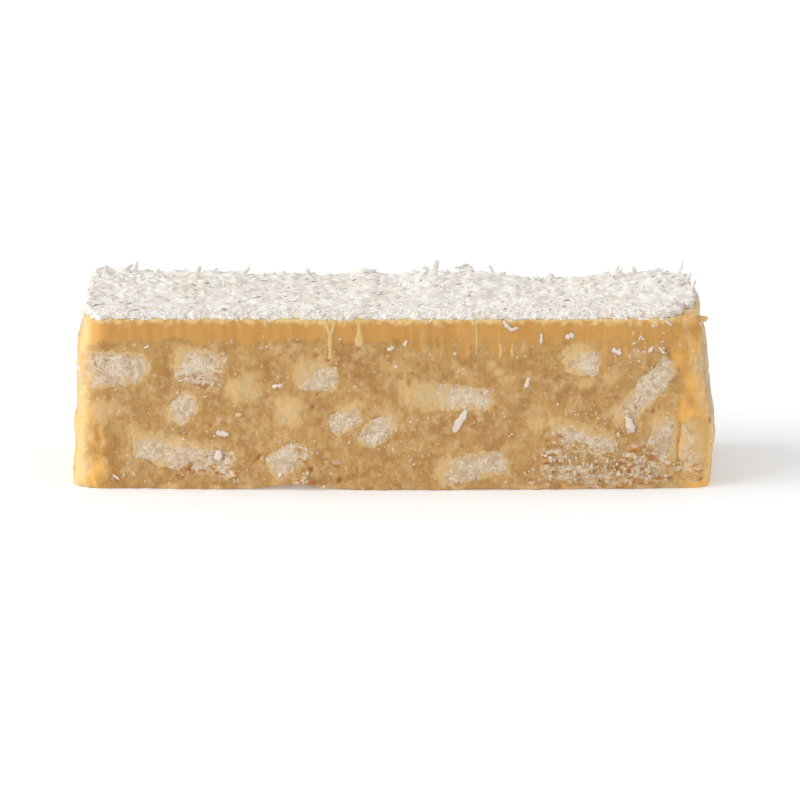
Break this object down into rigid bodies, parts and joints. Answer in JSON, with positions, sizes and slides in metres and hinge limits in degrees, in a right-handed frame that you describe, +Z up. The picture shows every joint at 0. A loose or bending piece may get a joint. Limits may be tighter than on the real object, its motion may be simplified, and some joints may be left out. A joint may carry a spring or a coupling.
{
  "type": "caramel slice",
  "caption": "Rectangular bar cut from a tray bake: snapped biscuit set in caramel, a layer of caramel icing, and a mat of shredded coconut on top.",
  "frame": {"origin": "centre of the bar's footprint, on the surface it rests on", "axes": "+Z up, +X along the bar to the right as seen from the cut side in the picture, +Y from that side into the bar"},
  "size_m": [0.1222, 0.0442, 0.0369],
  "materials": {
    "caramel": "soft condensed-milk caramel, slightly moist, cut with a knife",
    "icing": "smooth caramel icing with faint upright knife marks",
    "biscuit": "dry porous plain biscuit, snapped and cut through",
    "coconut": "dry desiccated coconut"
  },
  "bodies": {
    "root": {"caramel_base": "caramel", "icing": "icing", "coconut": "coconut", "biscuit_front_corner_left": "biscuit", "biscuit_front_upper_left": "biscuit", "biscuit_front_wedge_left": "biscuit", "biscuit_front_soft_left": "biscuit", "biscuit_front_soft_middle": "biscuit", "biscuit_front_upper_middle": "biscuit", "biscuit_front_pair_left": "biscuit", "biscuit_front_pair_right": "biscuit", "biscuit_front_long_low": "biscuit", "biscuit_front_low_middle": "biscuit", "biscuit_front_long_middle": "biscuit", "biscuit_front_low_right": "biscuit", "biscuit_front_upper_right": "biscuit", "biscuit_front_diagonal": "biscuit", "biscuit_front_broad_low": "biscuit", "biscuit_front_crumbled_low": "biscuit", "biscuit_front_upright_right": "biscuit", "biscuit_front_corner_right": "biscuit", "biscuit_right_end_upper": "biscuit", "biscuit_right_end_middle": "biscuit", "biscuit_right_end_low": "biscuit", "biscuit_left_end_low": "biscuit", "biscuit_left_end_middle": "biscuit", "biscuit_left_end_upper": "biscuit", "biscuit_back_p01": "biscuit", "biscuit_back_p02": "biscuit", "biscuit_back_p03": "biscuit", "biscuit_back_p04": "biscuit", "biscuit_back_p05": "biscuit", "biscuit_back_p06": "biscuit", "biscuit_back_p07": "biscuit", "biscuit_back_p08": "biscuit", "biscuit_back_p09": "biscuit", "biscuit_back_p10": "biscuit", "biscuit_back_p11": "biscuit", "biscuit_back_p12": "biscuit", "biscuit_back_p13": "biscuit", "biscuit_back_p14": "biscuit"}
  },
  "joints": []
}
